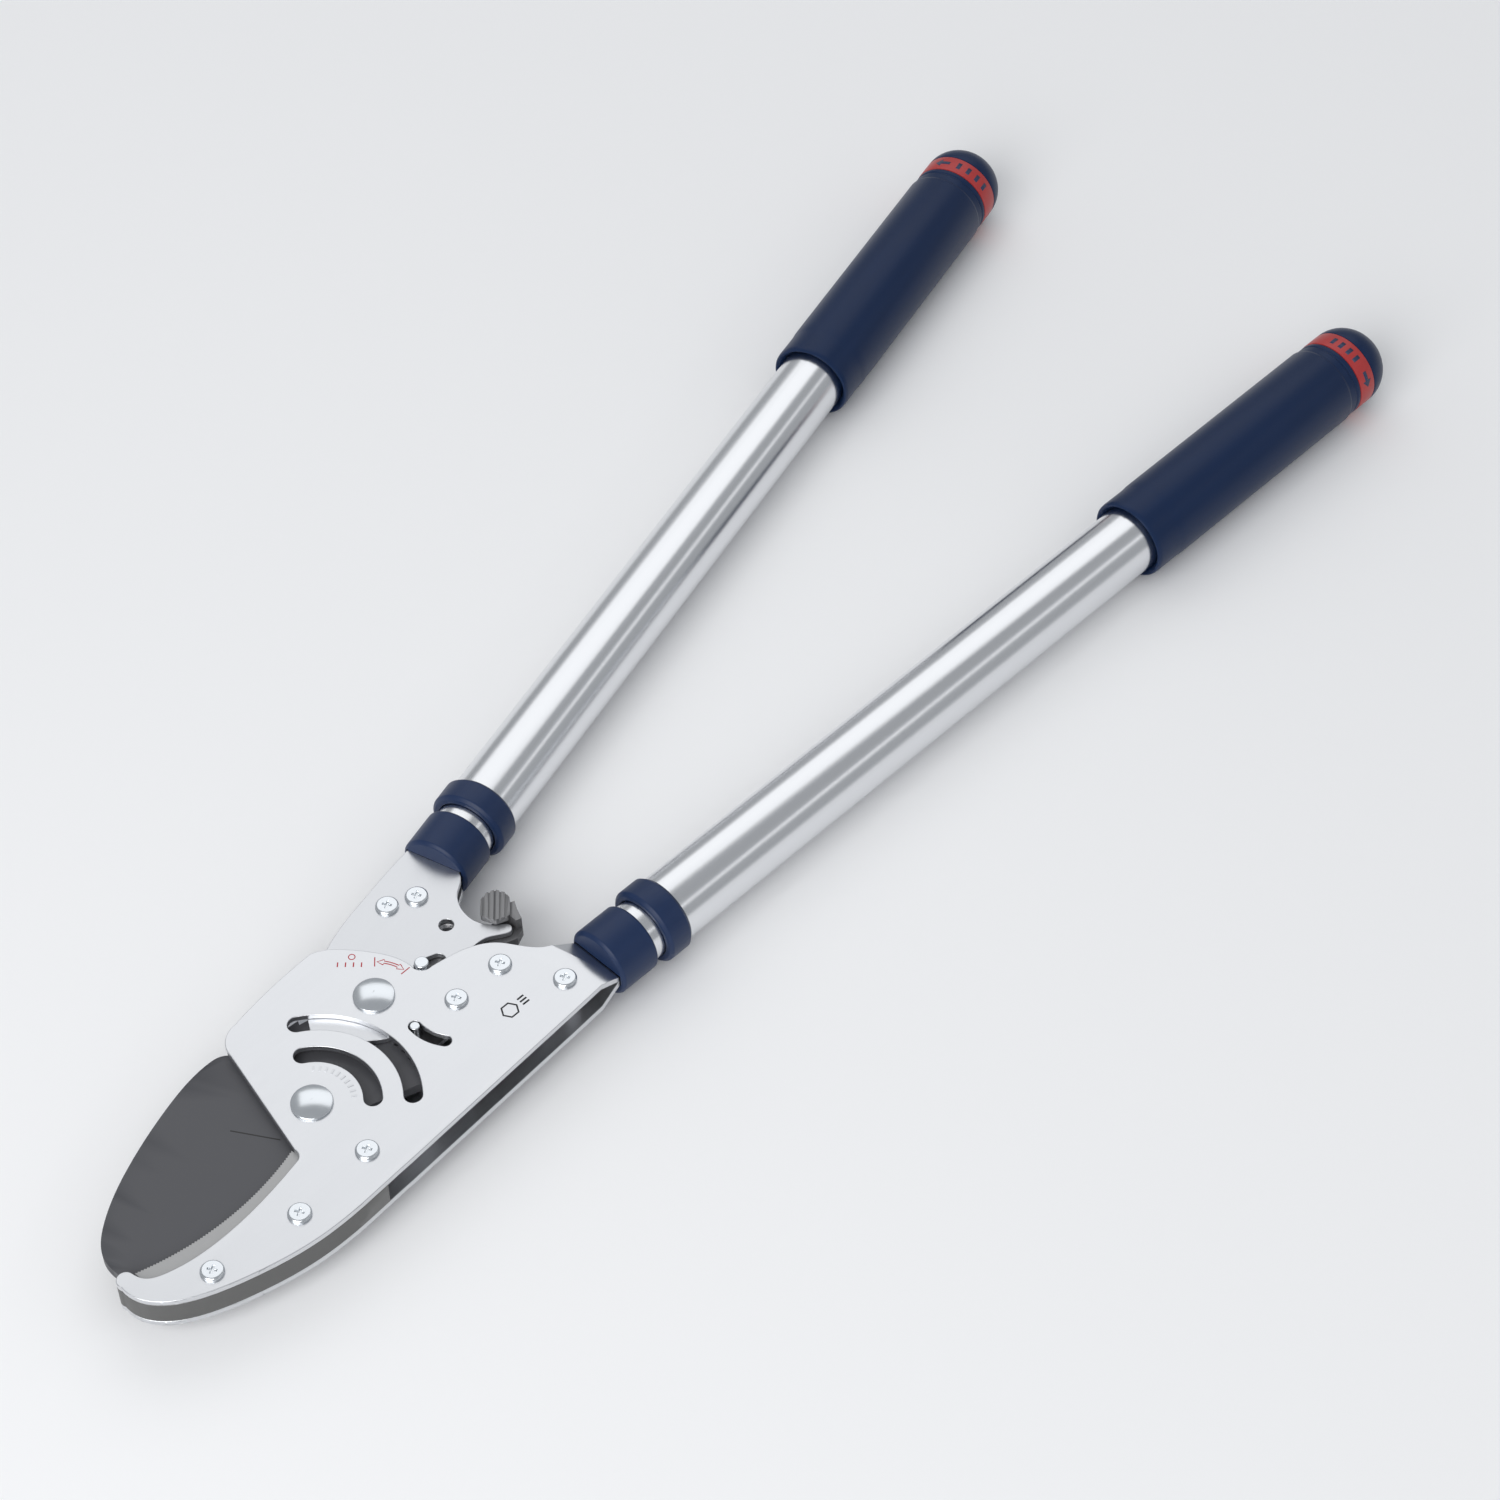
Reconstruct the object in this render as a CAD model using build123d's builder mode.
"""Telescopic ratchet anvil loppers, lying flat, jaw shut, handles retracted.

Every head dimension is taken from the blade pivot: x runs along the fixed lower handle
towards its grip, y runs towards the upper handle, z is square to the plates.
"""
import os
from math import cos, radians, sin

from build123d import *

os.makedirs("parts", exist_ok=True)

# ------------------------------------------------------------------ driving dimensions, mm
# The blade pivot, seen from the row's own origin under the middle of the tool.
head_place = (-240.47, -71.36, 17.8)

# Layers of the head, as half thicknesses from the middle plane.
plate_outside = 7.7
plate_thickness = 2.6
plate_inside = plate_outside - plate_thickness
arm_outside = 5.0
arm_inside = 2.5
blade_half = 2.2
pawl_half = 2.1
pawl_gap = 0.1

# Pivots and screws.
handle_pivot = (49.0, 20.3)
holding_pawl_pivot = (69.3, -3.5)
jaw_screws = [(-73.6, -29.7), (-35.6, -33.7), (-0.2, -30.7)]
neck_screws = [(91.9, -3.3), (104.1, -26.07)]
frame_screw_places = jaw_screws + [holding_pawl_pivot] + neck_screws
arm_screw_places = [(82.5, 50.3), (93.5, 45.6)]
screw_radius = 2.5
screw_head_radius = 4.6
screw_head_height = 1.5
nut_across_corners = 9.2
nut_height = 3.6
spacer_radius = 5.0
rivet_radius = 4.0
rivet_head_radius = 8.0
rivet_head_height = 2.5
running_clearance = 0.06

# Ratchet.
tooth_tip_radius = 43.0
tooth_root_radius = 41.0
tooth_pitch = 6.0
tooth_count = 15
sector_start = -28.0
hub_radius = 15.8
slot_width = 7.0
outer_slot_radius = 37.3
inner_slot_radius = 22.5
slot_start = -40.5
slot_sweep = 98.0
pawl_pin_reach = 19.4
pawl_pin_angle = 173.5
pawl_pin_travel = 41.0
pawl_pin_radius = 1.9
pawl_slot_width = 4.9
arm_lobe_radius = 18.8
arm_bush_radius = 5.2
drive_pivot_reach = 14.2
drive_pin_radius = 2.0

# Lock lever.
lock_pin_place = (72.3, 19.4)
lock_pin_radius = 2.8
lock_travel = 6.5
lock_direction = -20.0
arm_hole = (92.1, 27.3)
arm_hole_radius = 2.9

# Handles: foot of each axis, its direction, and where its ferrule starts.
lower_foot = (0.0, -25.33)
upper_foot = (44.69, 35.87)
upper_angle = 15.46
lower_ferrule_start = 121.4
upper_ferrule_start = 67.7
ferrule_radius = 14.4
ferrule_length = 18.6
ferrule_wall = 5.7
inner_tube_radius = 12.5
inner_tube_bore = 11.2
collar_start = 23.6
collar_radius = 16.2
collar_length = 12.0
collar_lip = 4.0
outer_tube_radius = 14.3
outer_tube_bore = 13.0
grip_start = 304.5
grip_radius = 17.8
grip_body_length = 124.6
groove_length = 6.2
band_length = 8.8
grip_length = 155.9
outer_tube_end = grip_start + 140.0
inner_tube_end = grip_start + 95.0
lock_ring_length = 18.0
lock_ring_radius = 12.9
journal_radius = 8.0
journal_offset = 0.6
neck_half_width = 12.0
tang_half_width = 9.2
tang_length = 28.0

head = Plane(origin=head_place)


def save(builder, node):
    """Label a finished piece and write it under its node name."""
    builder.part.label = node
    export_step(builder.part, f"parts/{node}.step")


def polar(centre, radius, angle):
    """A point at a distance and a direction in degrees from a centre."""
    return (centre[0] + radius * cos(radians(angle)), centre[1] + radius * sin(radians(angle)))


def shaft(centre, radius, low, high, mode=Mode.ADD):
    """A round bar square to the plates, between two heights."""
    with BuildSketch(head.offset(low)) as section:
        with Locations(centre):
            Circle(radius)
    extrude(section.sketch, amount=high - low, mode=mode)


def sleeve(centre, radius, bore, low, high):
    """A tube square to the plates, between two heights."""
    with BuildSketch(head.offset(low)) as section:
        with Locations(centre):
            Circle(radius)
            Circle(bore, mode=Mode.SUBTRACT)
    extrude(section.sketch, amount=high - low)


# ------------------------------------------------------------------------ handle geometry
handles = {
    "lower": {"foot": lower_foot, "angle": 0.0, "start": lower_ferrule_start},
    "upper": {"foot": upper_foot, "angle": upper_angle, "start": upper_ferrule_start},
}


def handle_point(side, along, across=0.0):
    """A head point from a distance along a handle's axis and a distance to its left."""
    handle = handles[side]
    turn = radians(handle["angle"])
    reach = handle["start"] + along
    return (
        handle["foot"][0] + reach * cos(turn) - across * sin(turn),
        handle["foot"][1] + reach * sin(turn) + across * cos(turn),
    )


def cross_plane(side, along):
    """The plane square to a handle at a distance from its ferrule's plate end."""
    x, y = handle_point(side, along)
    turn = radians(handles[side]["angle"])
    return Plane(
        origin=(head_place[0] + x, head_place[1] + y, head_place[2]),
        x_dir=(-sin(turn), cos(turn), 0),
        z_dir=(cos(turn), sin(turn), 0),
    )


def turned(side, profile):
    """A solid of revolution about a handle's axis, from points (along, radius)."""
    cross = cross_plane(side, 0)
    along_plane = Plane(
        origin=cross.origin,
        x_dir=cross.z_dir,
        z_dir=cross.z_dir.cross(Vector(0, 0, 1)),
    )
    with BuildSketch(along_plane) as section:
        with BuildLine():
            Polyline(profile, close=True)
        make_face()
    revolve(section.sketch, axis=Axis(cross.origin, cross.z_dir))


# ------------------------------------------------------------------------- frame outlines
with BuildSketch(head) as frame_outline:
    with BuildLine():
        # Jaw nose and the concave seat of the anvil.
        nose = ThreePointArc((-100.5, -11.3), (-97.4, -6.3), (-93.9, -9.6))
        seat = Spline(
            (-93.9, -9.6), (-91.4, -15.0), (-85.0, -18.2), (-62.5, -21.1), (-40.0, -19.2),
            (-20.6, -15.4),
        )
        heel = ThreePointArc(seat @ 1, (-18.6, -13.6), (-18.2, -11.0))
        # Front edge beside the blade, then the shoulder and the top edge.
        front_edge = Line(heel @ 1, (-6.6, 38.0))
        shoulder = ThreePointArc(front_edge @ 1, (-3.7, 44.9), (4.0, 48.2))
        top_edge = ThreePointArc(shoulder @ 1, (25.0, 51.5), (45.6, 52.9))
        # Cam edge about the handle pivot, ending in the notch that stops the lock pin.
        cam_edge = Spline(
            top_edge @ 1, (52.2, 49.2), (57.3, 43.7), (62.6, 36.4), (66.9, 28.4), (68.4, 20.6),
        )
        notch = ThreePointArc(cam_edge @ 1, (69.6, 16.4), (73.6, 15.1))
        # Swept edge down to the neck of the lower handle.
        neck_edge = Spline(
            notch @ 1, (84.0, 13.2), (93.0, 9.8), (99.0, 4.9), (102.6, -0.5), (105.3, -4.6),
            (109.0, -8.7), (113.0, -10.9), (116.8, -11.9),
            handle_point("lower", -0.3, neck_half_width),
        )
        tang = Polyline(
            neck_edge @ 1,
            handle_point("lower", ferrule_wall, neck_half_width),
            handle_point("lower", ferrule_wall, tang_half_width),
            handle_point("lower", ferrule_wall + tang_length, tang_half_width),
            handle_point("lower", ferrule_wall + tang_length, -tang_half_width),
            handle_point("lower", ferrule_wall, -tang_half_width),
            handle_point("lower", ferrule_wall, -neck_half_width),
            handle_point("lower", -0.3, -neck_half_width),
        )
        # Belly of the frame and the long outer curve of the jaw.
        belly = Spline(tang @ 1, (104.5, -38.7), (72.0, -40.9), (40.0, -43.1), (8.0, -45.2))
        jaw_back = Spline(
            belly @ 1, (-10.0, -46.3), (-24.0, -46.9), (-37.0, -46.4), (-50.0, -44.5),
            (-62.0, -41.6), (-73.0, -38.2), (-83.0, -34.1), (-92.5, -28.2), (-98.8, -20.6),
            nose @ 0,
        )
    make_face()

side_plane = Plane(origin=head_place, x_dir=(1, 0, 0), z_dir=(0, -1, 0))
neck_bend_start = 111.0
neck_bend_end = 121.0


def frame_plate(side):
    """One frame plate: flat over the head, joggled to the middle plane at the neck."""
    extrude(frame_outline.sketch, amount=side * (plate_outside + 1))
    with BuildSketch(side_plane) as bend:
        with BuildLine():
            Polyline(
                (-110, side * plate_inside),
                (neck_bend_start, side * plate_inside),
                (neck_bend_end, 0),
                (160, 0),
                (160, side * plate_thickness),
                (neck_bend_end + 0.4, side * plate_thickness),
                (neck_bend_start + 0.4, side * plate_outside),
                (-110, side * plate_outside),
                close=True,
            )
        make_face()
    extrude(bend.sketch, amount=80, both=True, mode=Mode.INTERSECT)
    low = min(0, side * 10)
    for place in frame_screw_places:
        shaft(place, screw_radius, low, low + 10, Mode.SUBTRACT)
    for place in ((0, 0), handle_pivot):
        shaft(place, rivet_radius, low, low + 10, Mode.SUBTRACT)


# Three arc slots of the front plate: two about the blade pivot, one about the holding pawl.
slot_middles = [
    (CenterArc((0, 0), outer_slot_radius, slot_start, slot_sweep), slot_width),
    (CenterArc((0, 0), inner_slot_radius, slot_start, slot_sweep), slot_width),
    (CenterArc(holding_pawl_pivot, pawl_pin_reach, pawl_pin_angle, pawl_pin_travel), pawl_slot_width),
]

with BuildPart() as front_plate:
    frame_plate(1)
    with BuildSketch(head) as arc_slots:
        for middle, width in slot_middles:
            SlotArc(middle, width)
    extrude(arc_slots.sketch, amount=plate_outside + 1, mode=Mode.SUBTRACT)
save(front_plate, "front_plate")

with BuildPart() as back_plate:
    frame_plate(-1)
save(back_plate, "back_plate")

# ----------------------------------------------------------------------------- fixed jaw
anvil_left = (-92.3, -8.4)
anvil_right = (-18.4, -8.9)
anvil_seat_left = (-92.3, -17.4)
anvil_seat_right = (-16.4, -18.0)

with BuildPart() as jaw_carrier:
    extrude(frame_outline.sketch, amount=plate_inside, both=True)
    with BuildSketch(head):
        with BuildLine():
            seat_arc = ThreePointArc(anvil_seat_left, (-55, -24.6), anvil_seat_right)
            Polyline(
                seat_arc @ 1, (-8, -19.5), (1.0, -25.0), (4.1, -30.7), (3.2, -35.4),
                (-3.6, -42.0), (-5.0, -60), (160, -60), (160, 70), (-92.3, 70), anvil_seat_left,
            )
        make_face()
    extrude(amount=plate_inside + 1, both=True, mode=Mode.SUBTRACT)
    for place in jaw_screws:
        shaft(place, screw_radius, -plate_inside, plate_inside, Mode.SUBTRACT)
save(jaw_carrier, "jaw_carrier")

with BuildPart() as anvil_strip:
    with BuildSketch(head):
        with BuildLine():
            anvil_top = ThreePointArc(anvil_left, (-55, -14.5), anvil_right)
            Line(anvil_top @ 1, anvil_seat_right)
            anvil_base = ThreePointArc(anvil_seat_right, (-55, -24.6), anvil_seat_left)
            Line(anvil_base @ 1, anvil_left)
        make_face()
    extrude(amount=plate_inside, both=True)
save(anvil_strip, "anvil_strip")

# --------------------------------------------------------------------- fasteners of frame
def pan_head_screws(places, seat, length):
    """Pan-head cross-recess screws that stand on a plate's outer face."""
    for place in places:
        shaft(place, screw_radius, seat - length, seat)
        shaft(place, screw_head_radius, seat, seat + screw_head_height)
    crowns = faces().filter_by(Axis.Z).group_by(Axis.Z)[-1].edges()
    fillet(crowns, radius=1.1)
    with BuildSketch(head.offset(seat + screw_head_height - 0.8)) as recess:
        with Locations(*places):
            Rectangle(3.8, 0.9, rotation=30)
            Rectangle(0.9, 3.8, rotation=30)
    extrude(recess.sketch, amount=0.9, mode=Mode.SUBTRACT)


def hex_nuts(places, seat):
    """Plain hexagon nuts under a plate's outer face."""
    with BuildSketch(head.offset(seat)) as hexagons:
        with Locations(*places):
            RegularPolygon(radius=nut_across_corners / 2, side_count=6)
            Circle(screw_radius, mode=Mode.SUBTRACT)
    extrude(hexagons.sketch, amount=-nut_height)


with BuildPart() as frame_screws:
    pan_head_screws(frame_screw_places, plate_outside, 2 * plate_outside + nut_height)
save(frame_screws, "frame_screws")

with BuildPart() as frame_nuts:
    hex_nuts(frame_screw_places, -plate_outside)
save(frame_nuts, "frame_nuts")

with BuildPart() as neck_spacers:
    for place in neck_screws:
        sleeve(place, spacer_radius, screw_radius, -plate_inside, plate_inside)
save(neck_spacers, "neck_spacers")

pawl_sleeve_radius = 3.6
with BuildPart() as pawl_sleeve:
    sleeve(holding_pawl_pivot, pawl_sleeve_radius, screw_radius, -plate_inside, plate_inside)
save(pawl_sleeve, "pawl_sleeve")


def domed_rivet(centre):
    """A solid rivet with a low dome on each outer face."""
    shaft(centre, rivet_radius, -plate_outside, plate_outside)
    rim = 0.9
    for side in (1, -1):
        seat = side * plate_outside
        shaft(centre, rivet_head_radius, min(seat, seat + side * rim), max(seat, seat + side * rim))
        across = Plane(
            origin=(head_place[0] + centre[0], head_place[1] + centre[1], head_place[2] + seat),
            x_dir=(1, 0, 0),
            z_dir=(0, -side, 0),
        )
        with BuildSketch(across) as half_dome:
            with BuildLine():
                Line((0, rim), (rivet_head_radius, rim))
                dome = ThreePointArc(
                    (rivet_head_radius, rim),
                    (rivet_head_radius / 2, rim + 0.76 * (rivet_head_height - rim)),
                    (0, rivet_head_height),
                )
                Line(dome @ 1, (0, rim))
            make_face()
        revolve(half_dome.sketch, axis=Axis(across.origin, (0, 0, 1)))


with BuildPart() as blade_rivet:
    domed_rivet((0, 0))
save(blade_rivet, "blade_rivet")

with BuildPart() as handle_rivet:
    domed_rivet(handle_pivot)
save(handle_rivet, "handle_rivet")

with BuildPart() as blade_washers:
    for low, high in ((blade_half + 0.05, plate_inside), (-plate_inside, -blade_half - 0.05)):
        sleeve((0, 0), 9.0, rivet_radius, low, high)
save(blade_washers, "blade_washers")

# --------------------------------------------------------------------------------- blade
sector_end = sector_start + tooth_pitch * tooth_count


def tooth_points():
    """Saw teeth along the blade's tail: steep face, then a ramp, tooth by tooth."""
    points = []
    for tooth in range(tooth_count):
        angle = sector_start + tooth * tooth_pitch
        points.append(polar((0, 0), tooth_root_radius, angle))
        points.append(polar((0, 0), tooth_tip_radius, angle + 0.4))
    points.append(polar((0, 0), tooth_root_radius, sector_end))
    return points


with BuildPart() as blade:
    with BuildSketch(head.offset(-blade_half)):
        with BuildLine():
            teeth = Polyline(tooth_points())
            tail_top = CenterArc((0, 0), tooth_root_radius, sector_end, 95 - sector_end)
            back = Spline(
                tail_top @ 1, (-7.6, 44.4), (-13.5, 45.1), (-36.0, 40.8), (-64.0, 30.3),
                (-85.0, 18.2), (-94.4, 8.0), (-96.0, -0.8),
            )
            point = ThreePointArc(back @ 1, (-95.1, -5.1), (-91.9, -8.3))
            edge = ThreePointArc(point @ 1, (-55, -14.35), (-18.3, -8.7))
            heel_line = Line(edge @ 1, polar((0, 0), hub_radius, 217))
            hub = CenterArc((0, 0), hub_radius, 217, 98)
            Line(hub @ 1, teeth @ 0)
        make_face()
    extrude(amount=2 * blade_half)
    with BuildSketch(head):
        Circle(rivet_radius + running_clearance)
    extrude(amount=10, both=True, mode=Mode.SUBTRACT)
save(blade, "blade")

# ----------------------------------------------------------------------------- upper arm
with BuildSketch(head) as arm_outline:
    with BuildLine():
        # Left side from the ferrule down behind the frame to the tail.
        left_side = Spline(
            handle_point("upper", -0.3, neck_half_width), (93.4, 63.0), (77.4, 59.4),
            (61.0, 55.0), (48.0, 49.8), (34.0, 42.6), (26.2, 32.6), (22.8, 27.4),
        )
        tail_corner = ThreePointArc(left_side @ 1, (21.6, 24.4), (22.6, 21.6))
        tail_edge = ThreePointArc(tail_corner @ 1, (25.8, 16.4), (29.6, 11.2))
        tail_root = Line(tail_edge @ 1, polar(handle_pivot, arm_lobe_radius, 226))
        lobe = CenterArc(handle_pivot, arm_lobe_radius, 226, 109)
        # Under the lock slot and out along the finger that guards the lever.
        finger_under = Spline(
            lobe @ 1, (72.0, 10.4), (82.0, 10.8), (92.5, 12.2), (99.1, 11.4), (103.4, 8.8),
            (106.6, 7.2),
        )
        finger_tip = ThreePointArc(finger_under @ 1, (108.9, 8.6), (108.0, 11.4))
        finger_throat = Spline(
            finger_tip @ 1, (104.4, 14.8), (101.2, 20.4), (100.9, 26.0), (102.8, 32.0),
            (106.2, 36.2), (110.2, 38.9), handle_point("upper", -0.3, -neck_half_width),
        )
        Polyline(
            finger_throat @ 1,
            handle_point("upper", ferrule_wall, -neck_half_width),
            handle_point("upper", ferrule_wall, -tang_half_width + 0.3),
            handle_point("upper", ferrule_wall + tang_length, -tang_half_width + 0.3),
            handle_point("upper", ferrule_wall + tang_length, tang_half_width - 0.3),
            handle_point("upper", ferrule_wall, tang_half_width - 0.3),
            handle_point("upper", ferrule_wall, neck_half_width),
            left_side @ 0,
        )
    make_face()

lock_slide = (cos(radians(lock_direction)), sin(radians(lock_direction)))
lock_slot_middle = (
    lock_pin_place[0] + lock_slide[0] * lock_travel / 2,
    lock_pin_place[1] + lock_slide[1] * lock_travel / 2,
)
drive_pivot = polar(handle_pivot, drive_pivot_reach, 270)


def arm_plate(side):
    """One of the two arm plates that lie just inside the frame plates."""
    sheet = arm_outline.sketch.moved(Location((0, 0, side * arm_inside)))
    extrude(sheet, amount=side * (arm_outside - arm_inside))
    low = min(0, side * 10)
    shaft(handle_pivot, rivet_radius + running_clearance, low, low + 10, Mode.SUBTRACT)
    shaft(drive_pivot, drive_pin_radius, low, low + 10, Mode.SUBTRACT)
    if side > 0:
        shaft(arm_hole, arm_hole_radius, low, low + 10, Mode.SUBTRACT)
    for place in arm_screw_places:
        shaft(place, screw_radius, low, low + 10, Mode.SUBTRACT)
    with BuildSketch(head.offset(low)) as lock_slot:
        with Locations(lock_slot_middle):
            SlotCenterToCenter(lock_travel, 2 * lock_pin_radius + 0.6, rotation=lock_direction)
    extrude(lock_slot.sketch, amount=10, mode=Mode.SUBTRACT)


with BuildPart() as front_arm_plate:
    arm_plate(1)
save(front_arm_plate, "front_arm_plate")

with BuildPart() as back_arm_plate:
    arm_plate(-1)
save(back_arm_plate, "back_arm_plate")

with BuildPart() as arm_screws:
    pan_head_screws(arm_screw_places, arm_outside, 2 * arm_outside + nut_height)
save(arm_screws, "arm_screws")

with BuildPart() as arm_nuts:
    hex_nuts(arm_screw_places, -arm_outside)
save(arm_nuts, "arm_nuts")

with BuildPart() as arm_spacers:
    for place in arm_screw_places:
        sleeve(place, spacer_radius, screw_radius, -arm_inside, arm_inside)
save(arm_spacers, "arm_spacers")

with BuildPart() as arm_bush:
    sleeve(
        handle_pivot, arm_bush_radius, rivet_radius + running_clearance, -arm_inside, arm_inside
    )
save(arm_bush, "arm_bush")

with BuildPart() as drive_pawl_pin:
    shaft(drive_pivot, drive_pin_radius, -arm_outside, arm_outside)
save(drive_pawl_pin, "drive_pawl_pin")

# ---------------------------------------------------------------------------- drive pawl
pawl_band_inside = 6.6
pawl_band_outside = 9.4
with BuildPart() as drive_pawl:
    with BuildSketch(head.offset(pawl_gap)):
        with Locations(drive_pivot):
            Circle(3.6)
        with BuildLine():
            pawl_outer = CenterArc(handle_pivot, pawl_band_outside, 202, 68)
            Line(pawl_outer @ 0, polar(handle_pivot, pawl_band_inside, 212))
            pawl_inner = CenterArc(handle_pivot, pawl_band_inside, 212, 78)
            Line(pawl_inner @ 1, polar(drive_pivot, 3.0, 20))
            Line(polar(drive_pivot, 3.0, 20), polar(drive_pivot, 3.0, 160))
            Line(polar(drive_pivot, 3.0, 160), pawl_outer @ 1)
        make_face()
    extrude(amount=pawl_half - pawl_gap)
    shaft(drive_pivot, drive_pin_radius + running_clearance, 0, 4, Mode.SUBTRACT)
save(drive_pawl, "drive_pawl")

# -------------------------------------------------------------------------- holding pawl
pawl_pin_place = polar(holding_pawl_pivot, pawl_pin_reach, pawl_pin_angle)
nose = polar((0, 0), tooth_tip_radius + 0.45, -8)
with BuildPart() as holding_pawl:
    with BuildSketch(head.offset(-pawl_half)):
        with Locations(holding_pawl_pivot):
            Circle(6.4)
        with Locations(pawl_pin_place):
            Circle(3.4)
        with BuildLine():
            Polyline(
                polar(holding_pawl_pivot, 6.2, 100),
                polar(pawl_pin_place, 3.2, 80),
                polar(pawl_pin_place, 3.3, 150),
                nose,
                (nose[0] + 1.0, nose[1] - 3.6),
                (nose[0] + 8.0, nose[1] - 3.2),
                polar(holding_pawl_pivot, 6.2, 240),
                close=True,
            )
        make_face()
    extrude(amount=pawl_half - pawl_gap)
    shaft(
        holding_pawl_pivot, pawl_sleeve_radius + running_clearance, -4, 4, Mode.SUBTRACT
    )
    shaft(pawl_pin_place, pawl_pin_radius, -4, 4, Mode.SUBTRACT)
save(holding_pawl, "holding_pawl")

with BuildPart() as holding_pawl_pin:
    shaft(pawl_pin_place, pawl_pin_radius, -pawl_half, plate_outside + 0.4)
    fillet(edges().group_by(Axis.Z)[-1], radius=0.4)
save(holding_pawl_pin, "holding_pawl_pin")


# ------------------------------------------------------------------------------- springs
def torsion_spring(centre, mean_radius, wire, low, turns, leg_angle, leg_length):
    """Closed coils stacked as touching rings, with one straight leg that leaves the coil."""
    foot = Vector(*head_place) + Vector(centre[0], centre[1], low)
    with BuildSketch(Plane(origin=foot, x_dir=(1, 0, 0), z_dir=(0, -1, 0))) as rings:
        for turn in range(turns):
            with Locations((mean_radius, wire / 2 + turn * 0.9 * wire)):
                Circle(wire / 2)
    revolve(rings.sketch, axis=Axis(foot, (0, 0, 1)))
    start = polar(centre, mean_radius - 0.15 * wire, leg_angle - 90)
    leg_foot = Vector(*head_place) + Vector(start[0], start[1], low + wire / 2)
    leg_way = (cos(radians(leg_angle)), sin(radians(leg_angle)), 0)
    with BuildSketch(Plane(origin=leg_foot, x_dir=(0, 0, 1), z_dir=leg_way)) as leg:
        Circle(0.48 * wire)
    extrude(leg.sketch, amount=leg_length)


with BuildPart() as holding_pawl_spring:
    torsion_spring(holding_pawl_pivot, 4.3, 0.8, 0.05, 2, 300, 12)
save(holding_pawl_spring, "holding_pawl_spring")

with BuildPart() as drive_pawl_spring:
    torsion_spring(drive_pivot, 2.6, 0.7, -1.75, 2, 20, 5)
save(drive_pawl_spring, "drive_pawl_spring")

with BuildPart() as lock_spring:
    torsion_spring(arm_hole, 3.7, 0.9, -1.35, 3, 100, 11)
save(lock_spring, "lock_spring")

# ---------------------------------------------------------------------------- lock lever
tab_low = 5.6
tab_high = 8.6
with BuildPart() as lock_lever:
    # Slide plate between the arm plates, from the lock pin to the post.
    with BuildSketch(head.offset(-pawl_half)):
        with Locations(lock_pin_place):
            Circle(5.0)
        with BuildLine():
            Polyline(
                polar(lock_pin_place, 5.0, 95),
                (90.0, 21.0), (104.0, 16.6), (112.5, 17.0), (116.6, 15.0), (114.6, 11.4),
                (112.6, 6.6), (108.0, 4.6), (100.0, 7.0), (88.0, 12.0),
                polar(lock_pin_place, 5.0, 262),
                close=True,
            )
        make_face()
    extrude(amount=2 * pawl_half)
    # Post beside the finger tip that carries the thumb pad.
    with BuildSketch(head.offset(pawl_half)):
        with BuildLine():
            Polyline(
                (112.5, 17.0), (116.6, 15.0), (114.6, 11.4), (112.8, 7.0), (110.4, 7.6),
                (110.6, 12.0), close=True,
            )
        make_face()
    extrude(amount=tab_high - pawl_half - 0.6)
    # Thumb pad with ribs across the push.
    with BuildSketch(head.offset(tab_low)) as tab_outline:
        with BuildLine():
            Polyline(
                (105.0, 13.2), (102.4, 19.0), (107.9, 24.6), (111.3, 25.5), (115.0, 24.2),
                (116.8, 20.3), (116.2, 17.2), (110.6, 10.7), close=True,
            )
        make_face()
        fillet(vertices(), radius=1.6)
    extrude(amount=tab_high - tab_low)
    with BuildSketch(Plane(origin=(head_place[0] + 111, head_place[1] + 18.5,
                                   head_place[2] + tab_high - 0.7),
                           x_dir=(0.69, 0.72, 0), z_dir=(0, 0, 1))):
        with GridLocations(0, 2.1, 1, 6):
            Rectangle(30, 0.8)
    extrude(amount=2, mode=Mode.SUBTRACT)
    shaft(lock_pin_place, lock_pin_radius, -4, 4, Mode.SUBTRACT)
save(lock_lever, "lock_lever")

with BuildPart() as lock_pin:
    shaft(lock_pin_place, lock_pin_radius, -pawl_half, plate_outside - 0.1)
    fillet(edges().group_by(Axis.Z)[-1], radius=0.6)
save(lock_pin, "lock_pin")

# --------------------------------------------------------------- telescopic handles, both
tang_tops = {"lower": plate_thickness, "upper": arm_outside}

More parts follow.
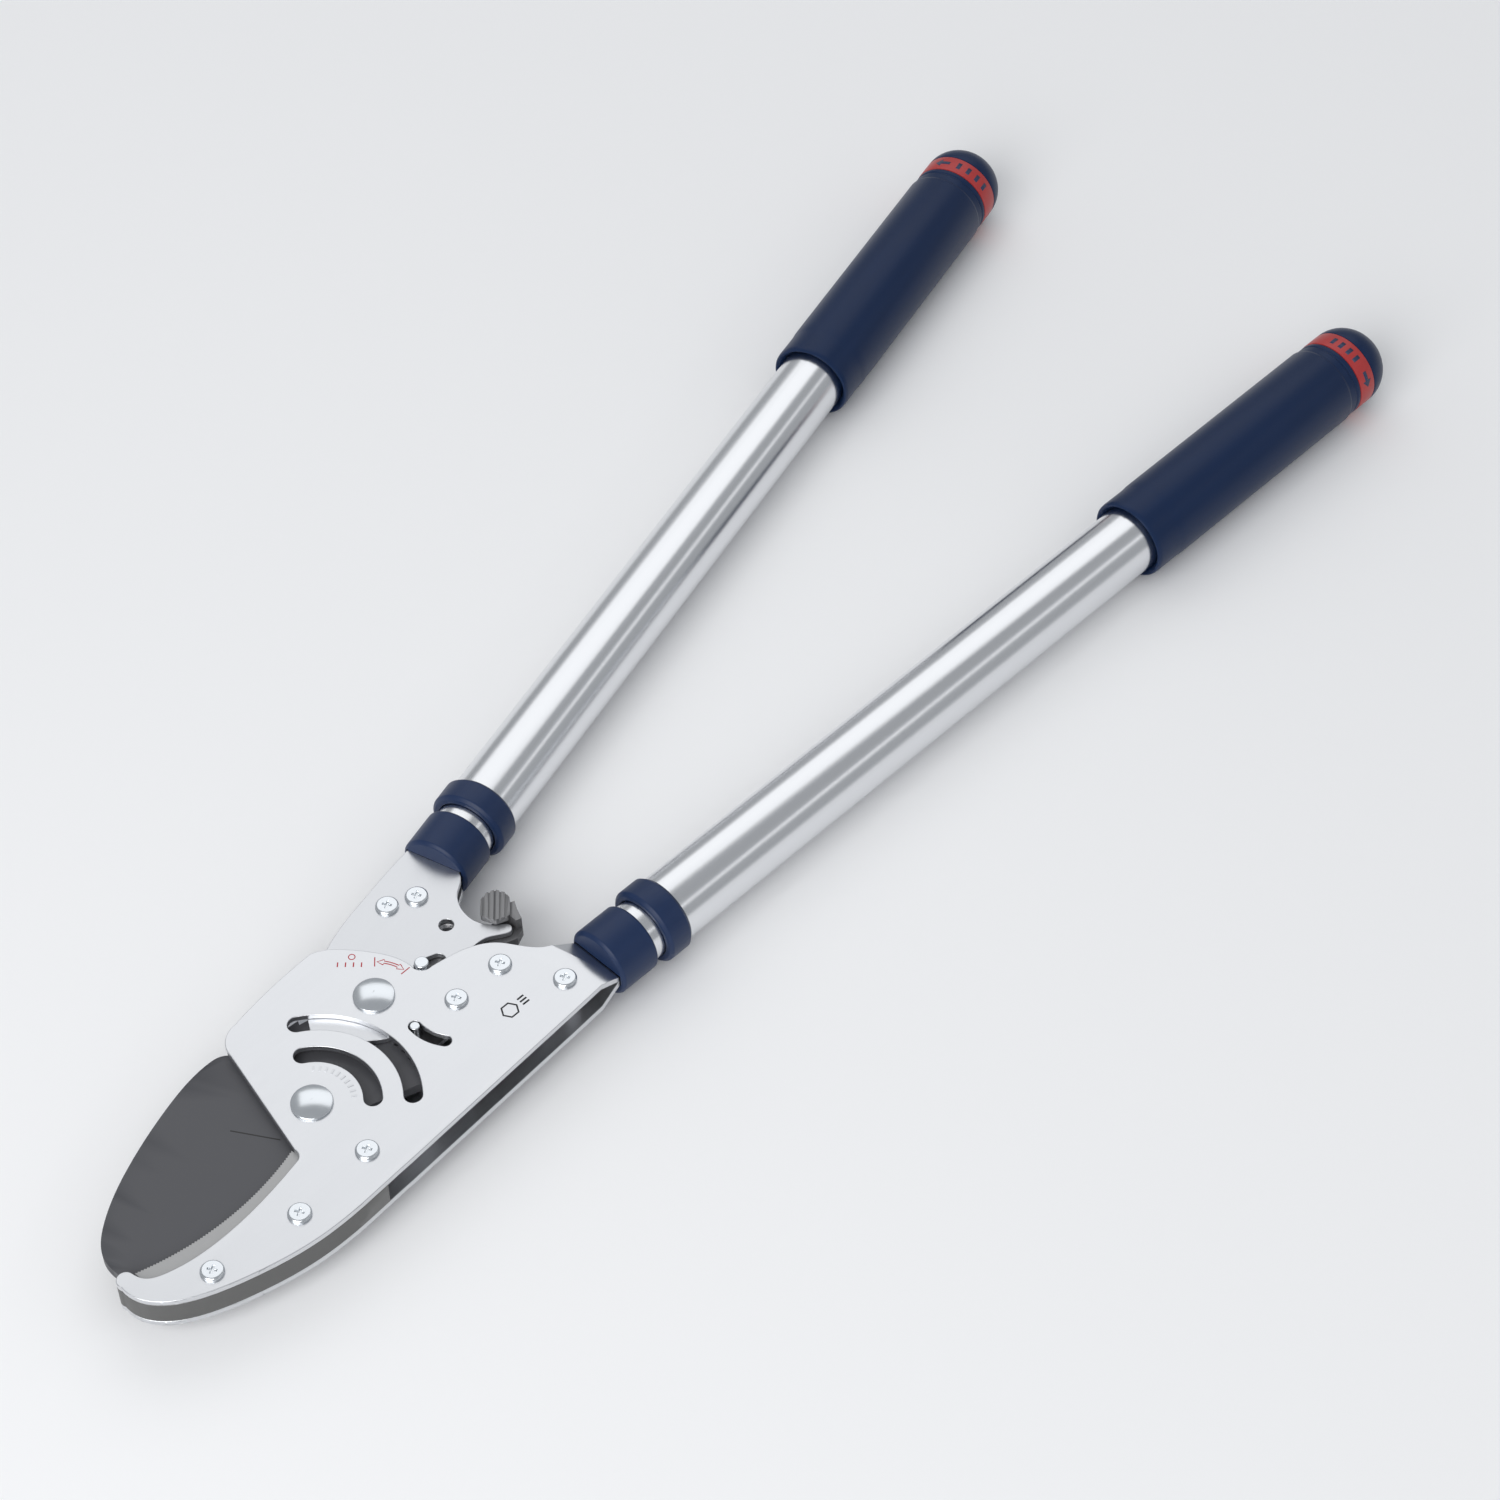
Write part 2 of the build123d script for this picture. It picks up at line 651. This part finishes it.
for side in handles:
    tang_top = tang_tops[side]

    with BuildPart() as ferrule:
        turned(side, [
            (0, 0), (0, ferrule_radius - 1.2), (1.2, ferrule_radius),
            (ferrule_length - 0.8, ferrule_radius), (ferrule_length, ferrule_radius - 0.8),
            (ferrule_length, inner_tube_radius),
            (ferrule_wall, inner_tube_radius), (ferrule_wall, 0),
        ])
        with BuildSketch(cross_plane(side, -1)):
            Rectangle(2 * neck_half_width, 2 * tang_top)
        extrude(amount=ferrule_wall + 2, mode=Mode.SUBTRACT)
    save(ferrule, f"{side}_ferrule")

    with BuildPart() as tang_plug:
        turned(side, [
            (ferrule_wall + 0.4, 0), (ferrule_wall + 0.4, inner_tube_bore),
            (ferrule_wall + tang_length + 6, inner_tube_bore), (ferrule_wall + tang_length + 6, 0),
        ])
        with BuildSketch(cross_plane(side, ferrule_wall)):
            Rectangle(2 * tang_half_width, 2 * tang_top)
        extrude(amount=tang_length, mode=Mode.SUBTRACT)
    save(tang_plug, f"{side}_tang_plug")

    with BuildPart() as inner_tube:
        turned(side, [
            (ferrule_wall, inner_tube_bore), (ferrule_wall, inner_tube_radius),
            (inner_tube_end, inner_tube_radius), (inner_tube_end, inner_tube_bore),
        ])
    save(inner_tube, f"{side}_inner_tube")

    journal_start = inner_tube_end + 2
    journal_end = journal_start + lock_ring_length + 0.4
    with BuildPart() as lock_core:
        turned(side, [
            (inner_tube_end - 20, 0), (inner_tube_end - 20, inner_tube_bore),
            (inner_tube_end, inner_tube_bore), (inner_tube_end, inner_tube_radius),
            (journal_start, inner_tube_radius), (journal_start, 0),
        ])
        with BuildSketch(cross_plane(side, journal_start)):
            with Locations((0, journal_offset)):
                Circle(journal_radius)
        extrude(amount=journal_end - journal_start)
        turned(side, [
            (journal_end, 0), (journal_end, inner_tube_radius - 0.5),
            (journal_end + 2, inner_tube_radius - 0.5), (journal_end + 2, 0),
        ])
    save(lock_core, f"{side}_lock_core")

    ring_bore = journal_radius + journal_offset + 0.15
    with BuildPart() as lock_ring:
        turned(side, [
            (journal_start + 0.2, ring_bore), (journal_start + 0.2, lock_ring_radius),
            (journal_end - 0.2, lock_ring_radius), (journal_end - 0.2, ring_bore),
        ])
        with BuildSketch(cross_plane(side, journal_start)):
            with Locations((0, -lock_ring_radius)):
                Rectangle(3.0, lock_ring_radius)
        extrude(amount=lock_ring_length + 1, mode=Mode.SUBTRACT)
    save(lock_ring, f"{side}_lock_ring")

    with BuildPart() as outer_tube:
        turned(side, [
            (collar_start + collar_lip, outer_tube_bore),
            (collar_start + collar_lip, outer_tube_radius),
            (outer_tube_end, outer_tube_radius), (outer_tube_end, outer_tube_bore),
        ])
    save(outer_tube, f"{side}_outer_tube")

    collar_bore = inner_tube_radius + 0.3
    collar_end = collar_start + collar_length
    with BuildPart() as collar:
        turned(side, [
            (collar_start, collar_bore), (collar_start, collar_radius - 1.4),
            (collar_start + 1.4, collar_radius), (collar_end - 1.8, collar_radius),
            (collar_end, collar_radius - 1.4), (collar_end, outer_tube_radius),
            (collar_start + collar_lip, outer_tube_radius),
            (collar_start + collar_lip, collar_bore),
        ])
    save(collar, f"{side}_collar")

    groove_start = grip_start + grip_body_length
    band_start = groove_start + groove_length
    band_end = band_start + band_length
    grip_end = grip_start + grip_length
    with BuildPart() as grip:
        turned(side, [
            (grip_start, outer_tube_radius), (grip_start, grip_radius - 1.6),
            (grip_start + 1.6, grip_radius - 0.2), (grip_start + 4, grip_radius),
            (groove_start, grip_radius), (groove_start + 1, grip_radius - 0.5),
            (band_start, grip_radius - 0.5), (band_start, outer_tube_radius),
        ])
    save(grip, f"{side}_grip")

    with BuildPart() as grip_band:
        turned(side, [
            (band_start, outer_tube_radius), (band_start, grip_radius - 0.4),
            (band_end, grip_radius - 0.4), (band_end, outer_tube_radius),
        ])
    save(grip_band, f"{side}_grip_band")

    cross = cross_plane(side, 0)
    along_plane = Plane(
        origin=cross.origin,
        x_dir=cross.z_dir,
        z_dir=cross.z_dir.cross(Vector(0, 0, 1)),
    )
    with BuildPart() as grip_cap:
        with BuildSketch(along_plane):
            with BuildLine():
                dome = EllipticalCenterArc(
                    (band_end, 0), grip_end - band_end, grip_radius - 0.4,
                    start_angle=0, arc_size=90,
                )
                Polyline(
                    dome @ 1, (band_end, outer_tube_radius), (outer_tube_end, outer_tube_radius),
                    (outer_tube_end, outer_tube_bore), (outer_tube_end - 14, outer_tube_bore),
                    (outer_tube_end - 14, 0), dome @ 0,
                )
            make_face()
        revolve(axis=Axis(cross.origin, cross.z_dir))
    save(grip_cap, f"{side}_grip_cap")
